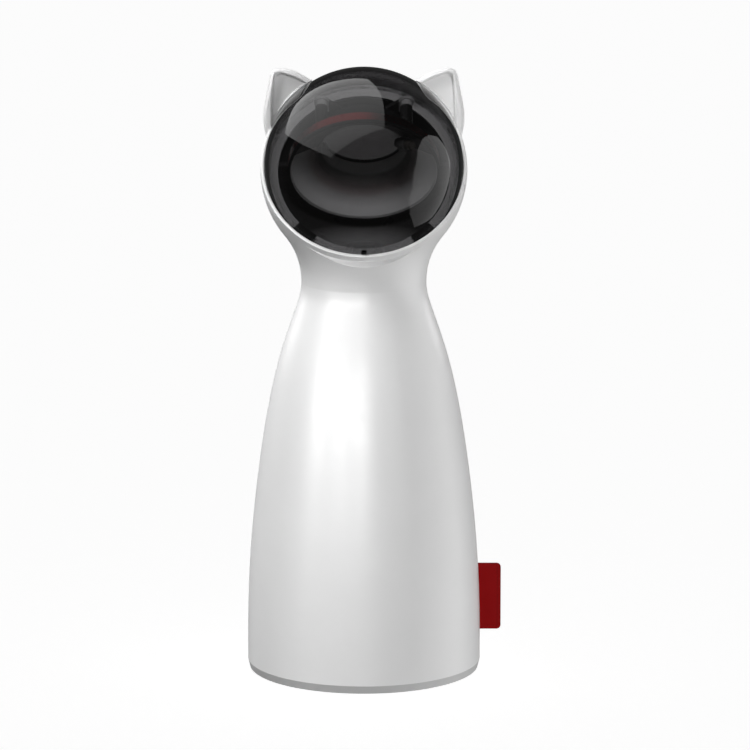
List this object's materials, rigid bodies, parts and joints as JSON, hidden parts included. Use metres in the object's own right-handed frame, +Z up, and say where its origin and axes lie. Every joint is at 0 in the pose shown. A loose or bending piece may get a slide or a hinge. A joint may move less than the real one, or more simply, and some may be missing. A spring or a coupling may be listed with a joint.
{
  "type": "automatic cat laser toy",
  "caption": "Free-standing laser toy for cats: turned white body, ball head with smoked dome, cat ears and a motorised mirror.",
  "frame": {"origin": "centre of the round base, on the surface that the toy stands on", "axes": "+Z up through the body's axis, front with the dome towards -Y, +X to the side that carries the tag"},
  "size_m": [0.0924, 0.0848, 0.2218],
  "materials": {
    "white_shell": "satin moulded white",
    "button_plastic": "satin",
    "base_plastic": "fine matt texture",
    "foot_rubber": "matt",
    "steel": "zinc plated",
    "inner_plastic": "moulded",
    "cell_sleeve": "sleeved cell",
    "smoked_clear": "polished, smoked, see-through",
    "bezel_plastic": "satin grey",
    "black_plastic": "polished black",
    "board_green": "solder mask",
    "switch_plastic": "moulded",
    "clear_resin": "clear",
    "tag_red": "satin red",
    "scanner_plastic": "satin grey",
    "ring_red": "gloss red",
    "mirror_glass": "front surface mirror",
    "gear_plastic": "natural acetal",
    "motor_can": "nickel plated",
    "brass": "turned",
    "lens_glass": "polished"
  },
  "bodies": {
    "body": {"base_plate": "base_plastic", "base_screws": "steel", "battery_cells": "cell_sleeve", "battery_holder": "inner_plastic", "bezel_ring": "bezel_plastic", "board_screws": "steel", "bracket_screws": "steel", "charge_board": "board_green", "circuit_board": "board_green", "dome_window": "smoked_clear", "drive_motor": "motor_can", "front_shell": "white_shell", "gear_bracket": "inner_plastic", "laser_lens": "lens_glass", "laser_module": "brass", "light_pipe": "clear_resin", "liner_bowl": "black_plastic", "rear_shell": "white_shell", "red_ring": "ring_red", "rubber_feet": "foot_rubber", "scanner_cup": "scanner_plastic", "shell_screws": "steel", "side_tag": "tag_red", "status_led": "clear_resin", "tact_switch": "switch_plastic", "top_contacts": "steel", "usb_socket": "steel"},
    "mirror_rotor_body": {"mirror_rotor": "gear_plastic", "mirror_disc": "mirror_glass", "rotor_clip": "steel"},
    "pinion_body": {"motor_pinion": "brass", "motor_shaft": "steel"},
    "door_body": {"battery_door": "base_plastic", "door_contacts": "steel"},
    "button_body": {"mode_button": "button_plastic"}
  },
  "joints": [
    {"name": "mirror_spin", "type": "hinge", "parent": "body", "child": "mirror_rotor_body", "pos_m": [0, -0.00031, 0.18425], "axis": [0, -0.7716, -0.6361], "continuous": true},
    {"name": "pinion_spin", "type": "hinge", "parent": "body", "child": "pinion_body", "pos_m": [0, 0.0086, 0.17344], "axis": [0, -0.7716, -0.6361], "continuous": true},
    {"name": "door_swing", "type": "hinge", "parent": "body", "child": "door_body", "pos_m": [0, 0.01515, 0.0013], "axis": [1, 0, 0], "range_deg": [0, 80]},
    {"name": "button_press", "type": "slide", "parent": "body", "child": "button_body", "axis": [0, -1, 0], "range_m": [0, 0.0008], "stiffness_N_per_m": 200, "springref_m": -0.001}
  ],
  "couplings": [
    {"joint": "pinion_spin", "follows": "mirror_spin", "ratio": -3.6667}
  ]
}
